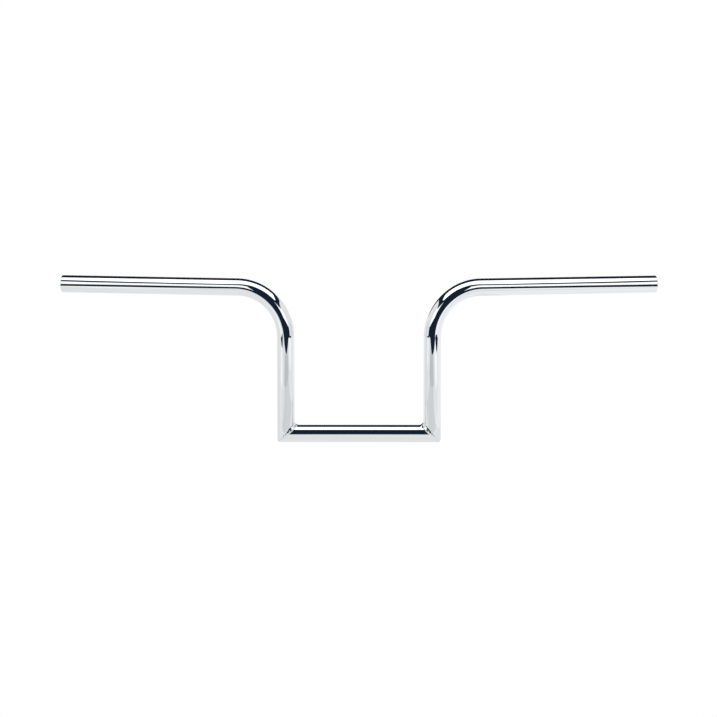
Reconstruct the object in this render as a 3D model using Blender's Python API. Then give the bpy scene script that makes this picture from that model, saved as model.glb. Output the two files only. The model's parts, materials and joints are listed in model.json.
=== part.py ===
"""Motorcycle handlebar: three steel tubes welded into one bar.

A straight clamp tube lies between two arm tubes. Each arm tube rises from a mitred corner, turns
outward through one bend of a little over a right angle and runs out, swept back and drooping a
little, to an open bar end. A weld bead runs round each mitred corner.

Frame: metres, origin at the middle of the clamp tube, +X along it, +Z up the risers, and +Y the way
that the bar ends sweep.
"""

import math

import bmesh
import bpy
from mathutils import Vector

# Driving dimensions, in metres and degrees
TUBE_DIAMETER = 0.0222
WALL_THICKNESS = 0.0024
RISER_SPACING = 0.1855
RISE = 0.1871
BEND_RADIUS = 0.0615
BAR_WIDTH = 0.7620
SWEEP_DEGREES = 14.0
DROOP_DEGREES = 1.25

# The mitred corners and their weld beads
ROOT_GAP = 0.0012
CORNER_GRIND = 0.0024
WELD_LEG_INNER = 0.0048
WELD_LEG_SIDE = 0.0038
WELD_LEG_OUTER = 0.0042
WELD_THROAT_INNER = 0.0024
WELD_THROAT_SIDE = 0.0015
WELD_THROAT_OUTER = 0.0011
WELD_TOE_HEIGHT = 0.0005
CLEARANCE = 0.0003

# How finely the round shapes are divided
TUBE_SIDES = 32
BEND_STEPS = 20
WELD_STEPS = 48
WELD_HALF_STEPS = 4

SMOOTH_ANGLE = math.radians(35)

# Worked out from the dimensions above
OUTER_RADIUS = TUBE_DIAMETER / 2
INNER_RADIUS = OUTER_RADIUS - WALL_THICKNESS
# How far the ground face of a corner lies from where the tubes' axes meet
CORNER_REACH = OUTER_RADIUS * math.sqrt(2) - CORNER_GRIND
# The root gap is measured square to the mitre, and along the tubes it is wider
END_TRIM = ROOT_GAP / 2 * math.sqrt(2)
STEM_HALF_WIDTH = (ROOT_GAP / 2 - CLEARANCE) * math.sqrt(2)
HALF_SPACING = RISER_SPACING / 2
SWEEP = math.radians(SWEEP_DEGREES)
BEND_TURN = math.radians(90 + DROOP_DEGREES)
# How far the bend's two ends lie from where the riser's axis and the arm's axis meet
BEND_TANGENT = BEND_RADIUS * math.tan(BEND_TURN / 2)
# How far the arm's axis runs out along X for each metre of its length
ARM_RUN = math.cos(SWEEP) * math.sin(BEND_TURN)
# A square-cut end that is swept back reaches a little further out than its centre
BAR_END_OFFSET = BAR_WIDTH / 2 - OUTER_RADIUS * math.sqrt(1 - ARM_RUN**2)
ARM_LENGTH = (BAR_END_OFFSET - HALF_SPACING) / ARM_RUN

X_AXIS = Vector((1, 0, 0))
Y_AXIS = Vector((0, 1, 0))
Z_AXIS = Vector((0, 0, 1))


def clear_scene():
    for old in list(bpy.data.objects):
        bpy.data.objects.remove(old, do_unlink=True)


def make_material(name, colour, roughness):
    material = bpy.data.materials.new(name)
    material.use_nodes = True
    shader = material.node_tree.nodes["Principled BSDF"]
    shader.inputs["Base Color"].default_value = (*colour, 1)
    shader.inputs["Metallic"].default_value = 1.0
    shader.inputs["Roughness"].default_value = roughness
    return material


def make_object(name, mesh, material):
    mesh.shade_smooth()
    mesh.set_sharp_from_angle(angle=SMOOTH_ANGLE)
    thing = bpy.data.objects.new(name, mesh)
    thing.data.materials.append(material)
    bpy.context.collection.objects.link(thing)
    return thing


def corner_of(side):
    """Where the riser's axis meets the clamp tube's axis; side is -1 for left and +1 for right."""
    return Vector((side * HALF_SPACING, 0, 0))


def circle_angles(steps):
    return [2 * math.pi * step / steps for step in range(steps)]


def bridge_rings(bm, first, second):
    """Quads from one ring of vertices to the next."""
    count = len(first)
    for i in range(count):
        j = (i + 1) % count
        bm.faces.new((first[i], first[j], second[j], second[i]))


def index_of(element):
    return element.index


def grind_corner(bm, side):
    """Take off the sharp tip of a mitred tube, square to the line between the corner's two sides."""
    outward = (side * X_AXIS - Z_AXIS).normalized()
    bm.verts.index_update()
    bm.edges.index_update()
    at_corner = [f for f in bm.faces if min(v.co.z for v in f.verts) < TUBE_DIAMETER]
    edges = {edge for face in at_corner for edge in face.edges}
    points = {vertex for face in at_corner for vertex in face.verts}
    bmesh.ops.bisect_plane(
        bm,
        geom=sorted(points, key=index_of) + sorted(edges, key=index_of) + at_corner,
        plane_co=corner_of(side) + outward * CORNER_REACH,
        plane_no=outward,
        clear_outer=True,
    )
    rim = [edge for edge in bm.edges if edge.is_boundary]
    bmesh.ops.edgeloop_fill(bm, edges=rim)


def finished_mesh(name, bm):
    bmesh.ops.recalc_face_normals(bm, faces=bm.faces)
    mesh = bpy.data.meshes.new(name)
    bm.to_mesh(mesh)
    bm.free()
    return mesh


def hollow_tube(name, outer_rings, inner_rings, mitred_sides):
    """A closed tube with a wall between two stacks of rings, ground at its mitred corners."""
    bm = bmesh.new()
    stacks = [
        [[bm.verts.new(point) for point in ring] for ring in rings]
        for rings in (outer_rings, inner_rings)
    ]
    for stack in stacks:
        for lower, upper in zip(stack, stack[1:]):
            bridge_rings(bm, lower, upper)
    outer, inner = stacks
    bridge_rings(bm, outer[0], inner[0])
    bridge_rings(bm, outer[-1], inner[-1])
    for side in mitred_sides:
        grind_corner(bm, side)
    return finished_mesh(name, bm)


def ring_at(centre, first, second, radius):
    return [
        centre + radius * (math.cos(angle) * first + math.sin(angle) * second)
        for angle in circle_angles(TUBE_SIDES)
    ]


def arm_rings(side, radius):
    """Rings along one arm tube, from the mitre up the riser, round the bend and out to the bar end."""
    outward = Vector((side * math.cos(SWEEP), math.sin(SWEEP), 0))
    across = Z_AXIS.cross(outward)
    base = corner_of(side)

    mitre_ring = ring_at(base, outward, across, radius)
    for point in mitre_ring:
        point.z = END_TRIM - side * (point.x - base.x)

    rings = [mitre_ring]
    bend_start = base + Z_AXIS * (RISE - BEND_TANGENT)
    for step in range(BEND_STEPS + 1):
        turn = BEND_TURN * step / BEND_STEPS
        run_out = outward * (BEND_RADIUS * (1 - math.cos(turn)))
        centre = bend_start + run_out + Z_AXIS * (BEND_RADIUS * math.sin(turn))
        inward = math.cos(turn) * outward - math.sin(turn) * Z_AXIS
        rings.append(ring_at(centre, inward, across, radius))
    along_arm = math.sin(BEND_TURN) * outward + math.cos(BEND_TURN) * Z_AXIS
    bar_end = base + Z_AXIS * RISE + along_arm * ARM_LENGTH
    rings.append(ring_at(bar_end, inward, across, radius))
    return rings


def centre_rings(radius):
    """The two mitred end rings of the clamp tube."""
    rings = []
    for side in (-1, 1):
        ring = ring_at(corner_of(side), Z_AXIS, Y_AXIS, radius)
        for point in ring:
            point.x -= side * (point.z + END_TRIM)
        rings.append(ring)
    return rings


def round_the_corner(inner, side, outer, cosine):
    """A value that goes from the corner's inside, cosine 1, over its flanks to its outside, -1."""
    slope = (inner - outer) / 2
    curve = (inner + outer) / 2 - side
    return side + slope * cosine + curve * cosine**2


class WeldSection:
    """One section through a mitre joint, at an angle counted from the inside of the corner.

    A place on it is told by t, from -1 at the bead's edge on the clamp tube, through 0 at the joint,
    to 1 at its edge on the riser, and by its height above the ground-off tubes.
    """

    def __init__(self, side, angle):
        cosine = math.cos(angle)
        sine = math.sin(angle)
        self.inboard = -side * X_AXIS
        self.corner = corner_of(side)
        self.outward = -(self.inboard + Z_AXIS).normalized()
        self.joint_line = cosine * (self.inboard + Z_AXIS) + sine * Y_AXIS
        self.edge = self.corner + OUTER_RADIUS * self.joint_line
        self.tube_normals = {
            -1: cosine * Z_AXIS + sine * Y_AXIS,
            1: cosine * self.inboard + sine * Y_AXIS,
        }
        self.joint_normal = (self.tube_normals[-1] + self.tube_normals[1]).normalized()
        self.leg = round_the_corner(WELD_LEG_INNER, WELD_LEG_SIDE, WELD_LEG_OUTER, cosine)
        self.throat = round_the_corner(
            WELD_THROAT_INNER, WELD_THROAT_SIDE, WELD_THROAT_OUTER, cosine
        )

    def point(self, t, height):
        tube = -1 if t < 0 else 1
        along = self.inboard if t < 0 else Z_AXIS
        place = self.edge + abs(t) * self.leg * along
        beyond = (place - self.corner).dot(self.outward) - CORNER_REACH
        if beyond > 0:
            place -= beyond * self.outward
        normal = self.joint_normal.lerp(self.tube_normals[tube], abs(t)).normalized()
        return place + height * normal

    def cap(self):
        """One smooth curve from toe to toe that passes over the joint at the throat's height."""
        first = self.point(-1, WELD_TOE_HEIGHT)
        last = self.point(1, WELD_TOE_HEIGHT)
        control = 2 * self.point(0, self.throat) - (first + last) / 2
        curve = []
        for step in range(2 * WELD_HALF_STEPS + 1):
            u = step / (2 * WELD_HALF_STEPS)
            curve.append((1 - u) ** 2 * first + 2 * u * (1 - u) * control + u**2 * last)
        return curve

    def underside(self, side):
        """From the bead's edge on one tube in to the root gap, just clear of the tube's surface."""
        steps = [step / WELD_HALF_STEPS for step in range(WELD_HALF_STEPS, 0, -1)]
        steps.append(STEM_HALF_WIDTH / self.leg)
        return [self.point(side * t, CLEARANCE) for t in steps]

    def outline(self):
        """The bead's cap, then its underside and the stem that fills the root gap."""
        root = self.corner + INNER_RADIUS * self.joint_line
        stem_end = [root + STEM_HALF_WIDTH * Z_AXIS, root + STEM_HALF_WIDTH * self.inboard]
        back_to_start = list(reversed(self.underside(-1)))
        return self.cap() + self.underside(1) + stem_end + back_to_start


def weld_mesh(name, side):
    """The bead, a ring of T-shaped sections all round the joint."""
    bm = bmesh.new()
    sections = []
    for angle in circle_angles(WELD_STEPS):
        outline = WeldSection(side, angle).outline()
        sections.append([bm.verts.new(point) for point in outline])
    for i, section in enumerate(sections):
        bridge_rings(bm, section, sections[(i + 1) % WELD_STEPS])
    return finished_mesh(name, bm)


def build():
    clear_scene()
    chrome = make_material("polished_chrome", (0.72, 0.74, 0.76), 0.05)
    weld_chrome = make_material("weld_chrome", (0.68, 0.70, 0.72), 0.18)

    centre = hollow_tube(
        "centre_tube", centre_rings(OUTER_RADIUS), centre_rings(INNER_RADIUS), [-1, 1]
    )
    make_object("centre_tube", centre, chrome)
    for side, side_name in ((-1, "left"), (1, "right")):
        name = f"{side_name}_arm_tube"
        arm = hollow_tube(name, arm_rings(side, OUTER_RADIUS), arm_rings(side, INNER_RADIUS), [side])
        make_object(name, arm, chrome)
        name = f"{side_name}_corner_weld"
        make_object(name, weld_mesh(name, side), weld_chrome)


build()
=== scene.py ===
"""The looks of the motorcycle handlebar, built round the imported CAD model.

Three chromed tubes and two weld beads stand for the five CAD nodes. They are finer meshes of the
same shapes: smooth round tubes with deburred open ends, and weld beads with their ripples.
"""

import json
import math

import bmesh
import bpy
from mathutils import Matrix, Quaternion, Vector


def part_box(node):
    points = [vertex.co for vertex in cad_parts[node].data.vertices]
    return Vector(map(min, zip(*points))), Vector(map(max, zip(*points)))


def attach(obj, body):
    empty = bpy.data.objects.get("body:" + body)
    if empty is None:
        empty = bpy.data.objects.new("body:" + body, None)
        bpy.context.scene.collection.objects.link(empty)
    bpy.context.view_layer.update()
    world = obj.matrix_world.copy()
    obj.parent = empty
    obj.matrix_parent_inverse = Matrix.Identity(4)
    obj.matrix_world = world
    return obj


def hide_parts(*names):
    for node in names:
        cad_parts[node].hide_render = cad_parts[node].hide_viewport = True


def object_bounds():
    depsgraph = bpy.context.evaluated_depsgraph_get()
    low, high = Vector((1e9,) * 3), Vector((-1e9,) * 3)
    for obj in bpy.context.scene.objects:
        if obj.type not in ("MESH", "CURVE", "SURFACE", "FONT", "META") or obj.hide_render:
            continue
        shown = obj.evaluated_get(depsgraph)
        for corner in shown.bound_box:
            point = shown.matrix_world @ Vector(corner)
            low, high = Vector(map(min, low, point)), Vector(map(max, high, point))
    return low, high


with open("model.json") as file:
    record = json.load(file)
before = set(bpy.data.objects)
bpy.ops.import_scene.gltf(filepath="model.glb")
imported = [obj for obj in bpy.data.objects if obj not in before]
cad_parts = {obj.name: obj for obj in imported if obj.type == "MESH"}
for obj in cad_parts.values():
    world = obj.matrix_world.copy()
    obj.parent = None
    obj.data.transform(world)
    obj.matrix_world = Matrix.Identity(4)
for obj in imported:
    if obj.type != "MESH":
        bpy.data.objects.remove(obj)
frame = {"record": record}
cad_low, cad_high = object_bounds()

# Shapes that the frame's boxes and mounts don't tell, in metres
WALL_THICKNESS = 0.0024
BEND_RADIUS = 0.0615
BEND_FLATTENING = 0.018
OUTER_EDGE_ROUND = 0.0011
BORE_EDGE_ROUND = 0.0006
MITRE_TRIM = 0.0003
CORNER_GRIND = 0.0028

# The weld beads: how far they reach along each tube (leg) and how high they stand (throat), on the
# inside of the corner, on its flanks and on its outside
WELD_LEG_INNER = 0.0050
WELD_LEG_SIDE = 0.0034
WELD_LEG_OUTER = 0.0030
WELD_THROAT_INNER = 0.0024
WELD_THROAT_SIDE = 0.0004
WELD_THROAT_OUTER = 0.0005
WELD_TOE_HEIGHT = -0.00012
WELD_SINK = 0.0006
RIPPLE_PITCH = 0.0034
RIPPLE_HEIGHT = 0.00016
RIPPLE_BEND = 0.9
RIPPLE_LEAN = 0.5
LEG_WANDER = 0.07
WANDER_WAVES = (3, 5)
WANDER_START = 0.7
# The beads' places in the noise: how far apart the outline's points are, and an offset to each
# bead's own side, so that the two differ
BEAD_ROW_SPACING = 0.001
BEAD_NOISE_OFFSET = 0.05

# How finely the round shapes are divided
TUBE_SIDES = 128
BEND_STEPS = 80
CORNER_STEPS = 16
CORNER_STEP_LENGTH = 0.0005
ROUND_STEPS = 6
WELD_STEPS = 560
WELD_HALF_STEPS = 12
SHARP_ANGLE = math.radians(40)

# Noise in the metals: sizes as (across, along) the tube, and depths, in metres
UNROLLED = "unrolled"
CLOUD_SIZE = (0.009, 0.030)
HAZE_SIZE = (0.006, 0.080)
STREAK_SIZE = (0.0026, 0.300)
WAVE_SIZE = (0.0040, 0.160)
WAVE_DEPTH = 0.000014
POLISH_LINE_SIZE = (0.0022, 0.120)
POLISH_LINE_DEPTH = 0.0000010
PIT_SIZE = (0.0012, 0.0012)
PIT_DEPTH = 0.000015
DRAWN_LINE_SIZE = (0.0010, 0.040)
DRAWN_LINE_DEPTH = 0.00002
NOISE_ROUGHNESS = 0.55
# Noise seldom leaves this range
NOISE_LOW = 0.3
NOISE_HIGH = 0.7

# The camera
CAMERA_DISTANCE = 7.0
CAMERA_ELEVATION = math.radians(10.0)
CAMERA_LENS = 277.7
SENSOR_WIDTH = 36.0
CAMERA_CLIP_END = 100.0
CAMERA_TARGET = Vector((-0.0007, 0, 0.0966))
CAMERA_ROLL = math.radians(0.04)

X_AXIS = Vector((1, 0, 0))
Y_AXIS = Vector((0, 1, 0))
Z_AXIS = Vector((0, 0, 1))
SIDES = {"left": -1, "right": 1}

# Read from the frame
MOUNTS = {mount["name"]: mount for mount in frame["record"]["mounts"]}
centre_low, centre_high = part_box("centre_tube")
OUTER_RADIUS = (centre_high.y - centre_low.y) / 2
INNER_RADIUS = OUTER_RADIUS - WALL_THICKNESS
CORNER_REACH = OUTER_RADIUS * math.sqrt(2) - CORNER_GRIND


class ArmLine:
    """Where one arm tube's axis runs: up the riser, round the bend, and out to the bar end."""

    def __init__(self, side_name):
        mount = MOUNTS[f"{side_name}_bar_end_face"]
        self.side = SIDES[side_name]
        self.direction = Vector(mount["axis"]).normalized()
        self.across = Z_AXIS.cross(self.direction).normalized()
        self.outward = self.across.cross(Z_AXIS)
        self.up = self.direction.cross(self.across)
        # The mount's point is in the middle of the wall, above the axis
        self.end = Vector(mount["pos_m"]) - self.up * (OUTER_RADIUS - WALL_THICKNESS / 2)
        # The sweep alone takes the arm away from the plane of the risers
        self.length = self.end.y / self.direction.y
        top = self.end - self.direction * self.length
        self.base = Vector((top.x, 0, 0))
        self.rise = top.z
        self.bend_turn = self.direction.angle(Z_AXIS)
        self.bend_tangent = BEND_RADIUS * math.tan(self.bend_turn / 2)

    def bend_frame(self, turn):
        """The axis point, and the direction to the inside of the bend, at a turn from its start."""
        run_out = self.outward * (BEND_RADIUS * (1 - math.cos(turn)))
        climb = Z_AXIS * (self.rise - self.bend_tangent + BEND_RADIUS * math.sin(turn))
        inward = math.cos(turn) * self.outward - math.sin(turn) * Z_AXIS
        return self.base + run_out + climb, inward


LINES = {name: ArmLine(name) for name in SIDES}


class TubeMesh:
    """Rings of vertices, each with its place on the tube as if the tube were unrolled straight."""

    def __init__(self):
        self.points = []
        self.unrolled = []
        self.rings = []

    def add_ring(self, centre, first, second, radius, distance, flattening=0.0):
        """A ring round the centre, which flattening narrows the first way and widens the second."""
        start = len(self.points)
        for step in range(TUBE_SIDES):
            angle = 2 * math.pi * step / TUBE_SIDES
            cosine, sine = math.cos(angle), math.sin(angle)
            in_plane = radius * (1 - flattening) * cosine
            sideways = radius * (1 + flattening / 2) * sine
            self.points.append(centre + in_plane * first + sideways * second)
            self.unrolled.append((radius * cosine, radius * sine, distance))
        self.rings.append(range(start, start + TUBE_SIDES))
        return self.rings[-1]

    def copy_rings(self, source, rings):
        """Rings of another mesh, added in the order given."""
        for ring in rings:
            start = len(self.points)
            self.points.extend(source.points[i] for i in ring)
            self.unrolled.extend(source.unrolled[i] for i in ring)
            self.rings.append(range(start, start + TUBE_SIDES))

    def faces(self):
        """Quads all round, from each ring to the next and from the last back to the first."""
        quads = []
        for lower, upper in zip(self.rings, self.rings[1:] + self.rings[:1]):
            for i in range(TUBE_SIDES):
                j = (i + 1) % TUBE_SIDES
                quads.append((lower[i], lower[j], upper[j], upper[i]))
        return quads

    def to_object(self, name, materials, bore_test):
        """The tube as an object. Faces that start on a ring in the bore get the second material."""
        mesh = bpy.data.meshes.new(name)
        mesh.from_pydata([tuple(point) for point in self.points], [], self.faces())
        store_unrolled(mesh, self.unrolled)
        for material in materials:
            mesh.materials.append(material)
        in_bore = [bore_test(i) for i in range(len(self.rings))]
        for i, polygon in enumerate(mesh.polygons):
            polygon.material_index = int(in_bore[i // TUBE_SIDES])
        return finished_object(name, mesh)


def store_unrolled(mesh, places):
    """Keep each vertex's unrolled place with the mesh, for the materials' noise."""
    attribute = mesh.attributes.new(UNROLLED, "FLOAT_VECTOR", "POINT")
    flat = [number for place in places for number in place]
    attribute.data.foreach_set("vector", flat)


def finished_object(name, mesh):
    """An object with its faces pointing out, shaded smooth but for its sharp edges."""
    bm = bmesh.new()
    bm.from_mesh(mesh)
    bmesh.ops.recalc_face_normals(bm, faces=bm.faces)
    bm.to_mesh(mesh)
    bm.free()
    mesh.shade_smooth()
    mesh.set_sharp_from_angle(angle=SHARP_ANGLE)
    thing = bpy.data.objects.new(name, mesh)
    bpy.context.collection.objects.link(thing)
    return thing


def ground_off(point, corner, side):
    """The point itself, or its place on the ground face if it lies beyond that face."""
    outward = (side * X_AXIS - Z_AXIS).normalized()
    beyond = (point - corner).dot(outward) - CORNER_REACH
    return point - outward * beyond if beyond > 0 else point


def add_mitre_rings(tube, line, along, first, second, radius):
    """Rings that step away from a mitred end, close enough to show the ground corner."""
    other = -line.side * X_AXIS if along == Z_AXIS else Z_AXIS
    for step in range(CORNER_STEPS):
        distance = step * CORNER_STEP_LENGTH
        offset = MITRE_TRIM + distance
        for i in tube.add_ring(line.base, first, second, radius, distance):
            reach = (tube.points[i] - line.base).dot(other) + offset
            tube.points[i] = ground_off(tube.points[i] + along * reach, line.base, line.side)


def build_arm(side_name, materials):
    line = LINES[side_name]
    tube = TubeMesh()
    add_arm_skin(tube, line, OUTER_RADIUS, OUTER_EDGE_ROUND)
    first_bore_ring = len(tube.rings)
    skin = TubeMesh()
    add_arm_skin(skin, line, INNER_RADIUS, -BORE_EDGE_ROUND)
    tube.copy_rings(skin, reversed(skin.rings))
    # The rounded edge at the bar end is chromed like the outside
    first_bore_ring += ROUND_STEPS + 1

    def in_bore(ring):
        return ring >= first_bore_ring

    return tube.to_object(f"{side_name}_chrome_arm", materials, in_bore)


def add_arm_skin(tube, line, radius, edge_round):
    """One skin of an arm tube. A positive edge round turns in at the bar end, a negative out."""
    across = line.across
    add_mitre_rings(tube, line, Z_AXIS, line.outward, across, radius)
    bend_start = line.rise - line.bend_tangent
    for step in range(BEND_STEPS + 1):
        share = step / BEND_STEPS
        turn = line.bend_turn * share
        centre, inward = line.bend_frame(turn)
        flattening = BEND_FLATTENING * math.sin(math.pi * share) ** 2
        distance = bend_start + BEND_RADIUS * turn
        tube.add_ring(centre, inward, across, radius, distance, flattening)
    bend_length = BEND_RADIUS * line.bend_turn
    arm_distance = bend_start + bend_length + line.length - line.bend_tangent
    size = abs(edge_round)
    for step in range(ROUND_STEPS + 1):
        turn = math.pi / 2 * step / ROUND_STEPS
        back = size * (1 - math.sin(turn))
        narrowed = radius - edge_round * (1 - math.cos(turn))
        centre = line.end - line.direction * back
        tube.add_ring(centre, -line.up, across, narrowed, arm_distance - back)


def centre_skin(radius):
    """One skin of the clamp tube, from its left mitre to its right one."""
    left, right = LINES["left"], LINES["right"]
    length = right.base.x - left.base.x
    skin = TubeMesh()
    add_mitre_rings(skin, left, X_AXIS, Z_AXIS, Y_AXIS, radius)
    far_end = TubeMesh()
    add_mitre_rings(far_end, right, -X_AXIS, Z_AXIS, Y_AXIS, radius)
    far_end.unrolled = [(u, v, length - w) for u, v, w in far_end.unrolled]
    skin.copy_rings(far_end, reversed(far_end.rings))
    return skin


def build_centre(materials):
    tube = centre_skin(OUTER_RADIUS)
    first_bore_ring = len(tube.rings)
    bore = centre_skin(INNER_RADIUS)
    tube.copy_rings(bore, reversed(bore.rings))
    last_bore_ring = len(tube.rings) - 1

    def in_bore(ring):
        return first_bore_ring <= ring < last_bore_ring

    return tube.to_object("chrome_clamp_tube", materials, in_bore)


def round_the_corner(inner, side, outer, cosine):
    """A value that goes from the corner's inside, cosine 1, over its flanks to its outside, -1."""
    slope = (inner - outer) / 2
    curve = (inner + outer) / 2 - side
    return side + slope * cosine + curve * cosine**2


class WeldSection:
    """One section through a mitre joint, at an angle counted from the inside of the corner."""

    def __init__(self, line, angle):
        cosine, sine = math.cos(angle), math.sin(angle)
        self.side = line.side
        self.corner = line.base
        self.inboard = -line.side * X_AXIS
        joint_line = cosine * (self.inboard + Z_AXIS) + sine * Y_AXIS
        self.edge = self.corner + OUTER_RADIUS * joint_line
        self.tube_normals = {
            -1: cosine * Z_AXIS + sine * Y_AXIS,
            1: cosine * self.inboard + sine * Y_AXIS,
        }
        self.joint_normal = (self.tube_normals[-1] + self.tube_normals[1]).normalized()
        slow_wave = math.sin(WANDER_WAVES[0] * angle + WANDER_START)
        quick_wave = math.sin(WANDER_WAVES[1] * angle + line.side)
        wander = 1 + LEG_WANDER * slow_wave * quick_wave
        self.leg = wander * round_the_corner(
            WELD_LEG_INNER, WELD_LEG_SIDE, WELD_LEG_OUTER, cosine
        )
        self.throat = round_the_corner(
            WELD_THROAT_INNER, WELD_THROAT_SIDE, WELD_THROAT_OUTER, cosine
        )

    def point(self, t, height):
        """A place across the bead, from toe (-1) over the joint (0) to toe (1), at a height."""
        tube = -1 if t < 0 else 1
        along = self.inboard if t < 0 else Z_AXIS
        place = self.edge + abs(t) * self.leg * along
        place = ground_off(place, self.corner, self.side)
        normal = self.joint_normal.lerp(self.tube_normals[tube], abs(t)).normalized()
        return place + height * normal

    def outline(self, phase):
        """The rippled cap from toe to toe, then back underneath, sunk in the tubes."""
        first = self.point(-1, WELD_TOE_HEIGHT)
        last = self.point(1, WELD_TOE_HEIGHT)
        control = 2 * self.point(0, self.throat) - (first + last) / 2
        curve = []
        count = 2 * WELD_HALF_STEPS
        for step in range(count + 1):
            u = step / count
            t = 2 * u - 1
            base = (1 - u) ** 2 * first + 2 * u * (1 - u) * control + u**2 * last
            wave = phase + 2 * math.pi * RIPPLE_BEND * t * t
            crest = 0.5 + 0.5 * math.cos(wave + RIPPLE_LEAN * math.sin(wave))
            lift = RIPPLE_HEIGHT * (1 - t**4) * crest
            curve.append(base + lift * self.joint_normal)
        under = [self.point(t, -WELD_SINK) for t in (1, 0.5, 0, -0.5, -1)]
        return curve + under


def build_weld(side_name, material):
    """A bead that closes on itself, with a whole number of ripples, evenly spaced along its top."""
    line = LINES[side_name]
    noise_place = line.side * BEAD_NOISE_OFFSET
    sections = [
        WeldSection(line, 2 * math.pi * step / WELD_STEPS) for step in range(WELD_STEPS)
    ]
    tops = [section.point(0, section.throat) for section in sections]
    lengths = [0.0]
    for here, there in zip(tops, tops[1:] + tops[:1]):
        lengths.append(lengths[-1] + (there - here).length)
    ripples = round(lengths[-1] / RIPPLE_PITCH)
    points, places = [], []
    for section, length in zip(sections, lengths):
        outline = section.outline(2 * math.pi * ripples * length / lengths[-1])
        points.extend(outline)
        places.extend((length, BEAD_ROW_SPACING * i, noise_place) for i in range(len(outline)))
    width = len(points) // WELD_STEPS
    quads = []
    for i in range(WELD_STEPS):
        here, there = i * width, (i + 1) % WELD_STEPS * width
        for j in range(width):
            k = (j + 1) % width
            quads.append((here + j, here + k, there + k, there + j))
    mesh = bpy.data.meshes.new(f"{side_name}_weld_bead")
    mesh.from_pydata([tuple(point) for point in points], [], quads)
    store_unrolled(mesh, places)
    mesh.materials.append(material)
    return finished_object(f"{side_name}_weld_bead", mesh)


class Nodes:
    """A material's node tree, with short ways to add and join nodes."""

    def __init__(self, material):
        material.use_nodes = True
        self.tree = material.node_tree
        self.shader = self.tree.nodes["Principled BSDF"]

    def add(self, kind, **values):
        node = self.tree.nodes.new(kind)
        for name, value in values.items():
            setattr(node, name, value)
        return node

    def join(self, source, target):
        self.tree.links.new(source, target)

    def unrolled_noise(self, size, detail):
        """Noise on the unrolled tube, with features of a size across and along it."""
        across, along = size
        place = self.add("ShaderNodeAttribute", attribute_name=UNROLLED)
        mapping = self.add("ShaderNodeMapping")
        mapping.inputs["Scale"].default_value = (1 / across, 1 / across, 1 / along)
        noise = self.add("ShaderNodeTexNoise")
        noise.inputs["Scale"].default_value = 1.0
        noise.inputs["Detail"].default_value = detail
        noise.inputs["Roughness"].default_value = NOISE_ROUGHNESS
        self.join(place.outputs["Vector"], mapping.inputs["Vector"])
        self.join(mapping.outputs["Vector"], noise.inputs["Vector"])
        return noise.outputs["Fac"]

    def spread(self, source, low, high):
        """A value from low to high, as the noise goes over its usual range."""
        node = self.add("ShaderNodeMapRange")
        node.inputs["From Min"].default_value = NOISE_LOW
        node.inputs["From Max"].default_value = NOISE_HIGH
        node.inputs["To Min"].default_value = low
        node.inputs["To Max"].default_value = high
        self.join(source, node.inputs["Value"])
        return node.outputs["Result"]

    def ramp(self, source, dark, light):
        """A colour from dark to light, as the source goes from 0 to 1."""
        node = self.add("ShaderNodeMix", data_type="RGBA")
        node.inputs["A"].default_value = (*dark, 1)
        node.inputs["B"].default_value = (*light, 1)
        self.join(source, node.inputs["Factor"])
        return node.outputs["Result"]

    def bump(self, height, depth, under=None):
        """A shading normal for relief of a depth, which may lie over another bump."""
        node = self.add("ShaderNodeBump")
        node.inputs["Strength"].default_value = 1.0
        node.inputs["Distance"].default_value = depth
        self.join(height, node.inputs["Height"])
        if under is not None:
            self.join(under, node.inputs["Normal"])
        return node.outputs["Normal"]


def metal(name, dark, light, smooth, rough, patch=CLOUD_SIZE):
    """A metal whose colour wanders over patches of a size, and its roughness over longer ones."""
    material = bpy.data.materials.new(name)
    nodes = Nodes(material)
    nodes.shader.inputs["Metallic"].default_value = 1.0
    cloud = nodes.unrolled_noise(patch, detail=3)
    haze = nodes.unrolled_noise(HAZE_SIZE, detail=3)
    colour = nodes.ramp(nodes.spread(cloud, 0, 1), dark, light)
    nodes.join(colour, nodes.shader.inputs["Base Color"])
    nodes.join(nodes.spread(haze, smooth, rough), nodes.shader.inputs["Roughness"])
    return material, nodes


def polished_chrome():
    """Chrome over drawn tube: faint streaks and long waves from drawing and polishing."""
    material, nodes = metal(
        "polished_chrome", dark=(0.675, 0.695, 0.71), light=(0.785, 0.80, 0.81),
        smooth=0.008, rough=0.022, patch=STREAK_SIZE,
    )
    waves = nodes.bump(nodes.unrolled_noise(WAVE_SIZE, detail=2), WAVE_DEPTH)
    polish_lines = nodes.unrolled_noise(POLISH_LINE_SIZE, detail=2)
    lines = nodes.bump(polish_lines, POLISH_LINE_DEPTH, under=waves)
    nodes.join(lines, nodes.shader.inputs["Normal"])
    return material


def weld_chrome():
    """The same chrome over the weld metal, a little duller and pitted."""
    material, nodes = metal(
        "weld_chrome", dark=(0.66, 0.68, 0.70), light=(0.75, 0.765, 0.78), smooth=0.05, rough=0.14
    )
    pits = nodes.bump(nodes.unrolled_noise(PIT_SIZE, detail=2), PIT_DEPTH)
    nodes.join(pits, nodes.shader.inputs["Normal"])
    return material


def bore_steel():
    """The inside of the tube, where the plating thins out over dull drawn steel."""
    material, nodes = metal(
        "bore_steel", dark=(0.20, 0.19, 0.18), light=(0.38, 0.37, 0.36), smooth=0.30, rough=0.55
    )
    lines = nodes.bump(nodes.unrolled_noise(DRAWN_LINE_SIZE, detail=3), DRAWN_LINE_DEPTH)
    nodes.join(lines, nodes.shader.inputs["Normal"])
    return material


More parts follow.
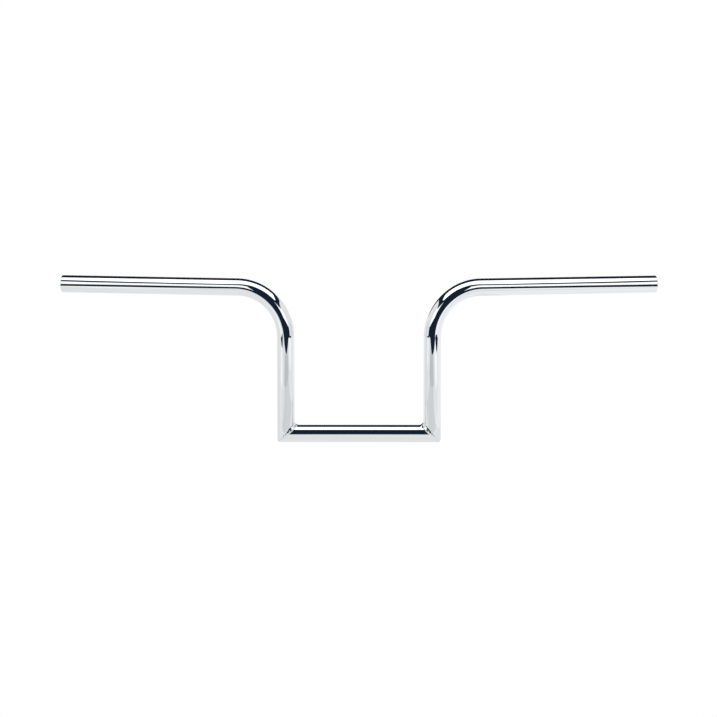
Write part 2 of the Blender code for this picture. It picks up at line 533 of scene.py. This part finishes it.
# The studio, in metres: a white table with painted shade and painted light in patches on it, a
# softbox overhead and white side walls, with dark between them. The camera looks along +Y, so the
# front is where y is low.
WHITE = (1.0, 1.0, 1.0)
NIGHT = (0.009, 0.020, 0.038)
TABLE_GAP = 0.0012
TABLE_HEIGHT = cad_low.z - TABLE_GAP
CARD_LIFT = 0.0002
STUDIO_BACK = 8.0
OVERHEAD_HEIGHT = 2.8
WALL_PLACE = 2.0
WALL_FOOT = -0.15
# The table's edge as (x, y), from its back left corner round its front
TABLE_OUTLINE = [
    (-0.95, STUDIO_BACK), (-0.95, -0.20), (-0.73, -0.39), (-0.585, -0.52), (-0.61, -0.78),
    (0.00, -0.68), (0.57, -0.66), (0.67, -0.34), (0.95, -0.15), (0.95, STUDIO_BACK),
]
# The softbox's edge as (x, y), from the middle of its front round its right side
OVERHEAD_OUTLINE = [
    (-0.50, -1.55), (0.50, -1.55), (1.25, -1.85), (1.80, -2.05), (1.95, -1.75), (2.05, -1.35),
    (2.00, 0.87), (0.90, 0.87), (0.30, 0.72), (-0.30, 0.72), (-0.90, 0.87), (-1.82, 0.87),
    (-1.97, 0.30), (-2.05, -1.35), (-1.95, -1.75), (-1.80, -2.05), (-1.25, -1.85),
]
# The backdrop's edge as (x, z)
BACKDROP_OUTLINE = [(-6, 0), (6, 0), (6, 1.6), (-6, 1.6)]
# The top edge of each wall as (y, z), front to back, with a dark gap between it and the softbox
WALL_TOP = [(-4.8, 3.60), (-2.5, 1.98), (-1.8, 1.74), (-1.4, 1.90), (-0.4, 1.97), (1.7, 1.82)]
FRONT_WALL_END = -1.4
FRONT_WALL_FOOT = [(FRONT_WALL_END, 0.32), (-4.8, 1.20)]
# Where each side's back wall ends, and how high it is there if it goes on past WALL_TOP
BACK_WALL_ENDS = {"left": 1.7, "right": STUDIO_BACK}
BACK_WALL_TOP = 1.9
# A low wall goes on behind the left back wall
LOW_WALL_TOP = 0.6
# Painted shade and painted light on the table, as dimmer and brighter patches of it: x from and to,
# y from and to, and the glow
TABLE_PAINTED_PATCHES = {
    "table_front_painted_shade": (-0.24, 0.24, -0.68, -0.42, 0.70),
    "table_middle_painted_shade": (-0.20, 0.20, -0.42, -0.09, 0.84),
    "right_table_painted_light": (0.21, 0.94, -0.12, 1.50, 1.11),
}
# Painted light on the table: brighter strips at its sides, where the arms mirror it, as (x, y)
TABLE_PAINTED_LIGHTS = {
    "left": [(-0.78, -0.35), (-0.73, -0.39), (-0.585, -0.52), (-0.38, -0.27), (-0.53, -0.17)],
    "right": [
        (0.75, -0.28), (0.66, -0.36), (0.565, -0.65), (0.44, -0.62), (0.38, -0.26), (0.53, -0.17),
    ],
}
TABLE_GLOW = 1.0
BACKDROP_GLOW = 1.0
SOFTBOX_GLOW = 1.9
# How brightly the painted light strips on the table glow
TABLE_PAINTED_LIGHT_GLOW = 1.22
FRONT_WALL_GLOW = 1.4
BACK_WALL_GLOW = 1.0


def glow_material(name, strength):
    """Plain white light, the same all over."""
    material = bpy.data.materials.new(name)
    material.use_nodes = True
    tree = material.node_tree
    tree.nodes.clear()
    glow = tree.nodes.new("ShaderNodeEmission")
    glow.inputs["Color"].default_value = (*WHITE, 1)
    glow.inputs["Strength"].default_value = strength
    output = tree.nodes.new("ShaderNodeOutputMaterial")
    tree.links.new(glow.outputs["Emission"], output.inputs["Surface"])
    return material


def card(name, corners, strength, seen_by_camera=False):
    """A flat, evenly lit sheet of the studio, which the chrome mirrors and the camera may see."""
    mesh = bpy.data.meshes.new(name)
    mesh.from_pydata(corners, [], [tuple(range(len(corners)))])
    mesh.materials.append(glow_material(name, strength))
    thing = bpy.data.objects.new(name, mesh)
    bpy.context.collection.objects.link(thing)
    thing.visible_camera = seen_by_camera


def painted_table_patch(name, x_low, x_high, y_low, y_high, strength):
    """A part of the table, dimmer for painted shade and brighter for painted light."""
    z = TABLE_HEIGHT + CARD_LIFT
    corners = [(x_low, y_low, z), (x_high, y_low, z), (x_high, y_high, z), (x_low, y_high, z)]
    card(name, corners, strength)


def side_wall(name, side, outline, strength):
    """An upright sheet at one side, with an outline of (y, z) points."""
    card(name, [(side * WALL_PLACE, y, z) for y, z in outline], strength)


def build_walls(side_name, side):
    """One side's walls: a brighter front part, and a back part that reaches lower."""
    front_top = [(y, z) for y, z in WALL_TOP if y <= FRONT_WALL_END]
    side_wall(f"{side_name}_front_wall", side, front_top + FRONT_WALL_FOOT, FRONT_WALL_GLOW)
    back_top = [(y, z) for y, z in WALL_TOP if y >= FRONT_WALL_END]
    end = BACK_WALL_ENDS[side_name]
    if end > WALL_TOP[-1][0]:
        back_top.append((end, BACK_WALL_TOP))
    back_foot = [(end, WALL_FOOT), (FRONT_WALL_END, WALL_FOOT)]
    side_wall(f"{side_name}_back_wall", side, back_top + back_foot, BACK_WALL_GLOW)


def build_studio():
    """Every card of the studio, in one fixed order."""
    table = [(x, y, TABLE_HEIGHT) for x, y in TABLE_OUTLINE]
    card("table", table, TABLE_GLOW, seen_by_camera=True)
    backdrop = [(x, STUDIO_BACK, z) for x, z in BACKDROP_OUTLINE]
    card("low_backdrop", backdrop, BACKDROP_GLOW)
    overhead = [(x, y, OVERHEAD_HEIGHT) for x, y in OVERHEAD_OUTLINE]
    card("overhead_softbox", overhead, SOFTBOX_GLOW)
    # The table's painted shade and painted light, as dimmer and brighter patches
    for name, patch in TABLE_PAINTED_PATCHES.items():
        painted_table_patch(name, *patch)
    # The painted light strips on the table
    z = TABLE_HEIGHT + 2 * CARD_LIFT
    for name, outline in TABLE_PAINTED_LIGHTS.items():
        card(f"{name}_table_painted_light", [(x, y, z) for x, y in outline], TABLE_PAINTED_LIGHT_GLOW)
    for side_name, side in SIDES.items():
        build_walls(side_name, side)
    start = BACK_WALL_ENDS["left"]
    low_foot = [(start, WALL_FOOT), (STUDIO_BACK, WALL_FOOT)]
    low_top = [(STUDIO_BACK, LOW_WALL_TOP), (start, LOW_WALL_TOP)]
    side_wall("left_low_wall", SIDES["left"], low_foot + low_top, BACK_WALL_GLOW)


def build_world():
    """Dark beyond the cards for the chrome to mirror, and white where the camera looks past."""
    world = bpy.data.worlds.new("studio")
    bpy.context.scene.world = world
    world.use_nodes = True
    tree = world.node_tree
    tree.nodes.clear()
    dark = tree.nodes.new("ShaderNodeBackground")
    dark.inputs["Color"].default_value = (*NIGHT, 1)
    bright = tree.nodes.new("ShaderNodeBackground")
    bright.inputs["Color"].default_value = (*WHITE, 1)
    path = tree.nodes.new("ShaderNodeLightPath")
    mix = tree.nodes.new("ShaderNodeMixShader")
    output = tree.nodes.new("ShaderNodeOutputWorld")
    tree.links.new(path.outputs["Is Camera Ray"], mix.inputs[0])
    tree.links.new(dark.outputs[0], mix.inputs[1])
    tree.links.new(bright.outputs[0], mix.inputs[2])
    tree.links.new(mix.outputs[0], output.inputs["Surface"])


def build_camera():
    """The camera, in front of the bar and a little above it, turned to its middle."""
    back = Vector((0, -math.cos(CAMERA_ELEVATION), math.sin(CAMERA_ELEVATION)))
    data = bpy.data.cameras.new("camera")
    data.sensor_width = SENSOR_WIDTH
    data.lens = CAMERA_LENS
    data.clip_end = CAMERA_CLIP_END
    camera = bpy.data.objects.new("camera", data)
    camera.location = CAMERA_TARGET + back * CAMERA_DISTANCE
    camera.rotation_mode = "QUATERNION"
    roll = Quaternion(Z_AXIS, CAMERA_ROLL)
    camera.rotation_quaternion = (-back).to_track_quat("-Z", "Y") @ roll
    bpy.context.collection.objects.link(camera)
    bpy.context.scene.camera = camera


def build_handlebar():
    """The five pieces, each in place of its CAD node."""
    chrome = polished_chrome()
    bore = bore_steel()
    weld = weld_chrome()
    for side_name in SIDES:
        arm = build_arm(side_name, [chrome, bore])
        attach(arm, "root")
        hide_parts(f"{side_name}_arm_tube")
        bead = build_weld(side_name, weld)
        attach(bead, "root")
        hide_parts(f"{side_name}_corner_weld")
    centre = build_centre([chrome, bore])
    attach(centre, "root")
    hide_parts("centre_tube")


build_handlebar()
build_studio()
build_world()
build_camera()
bpy.context.scene.view_settings.view_transform = "Standard"
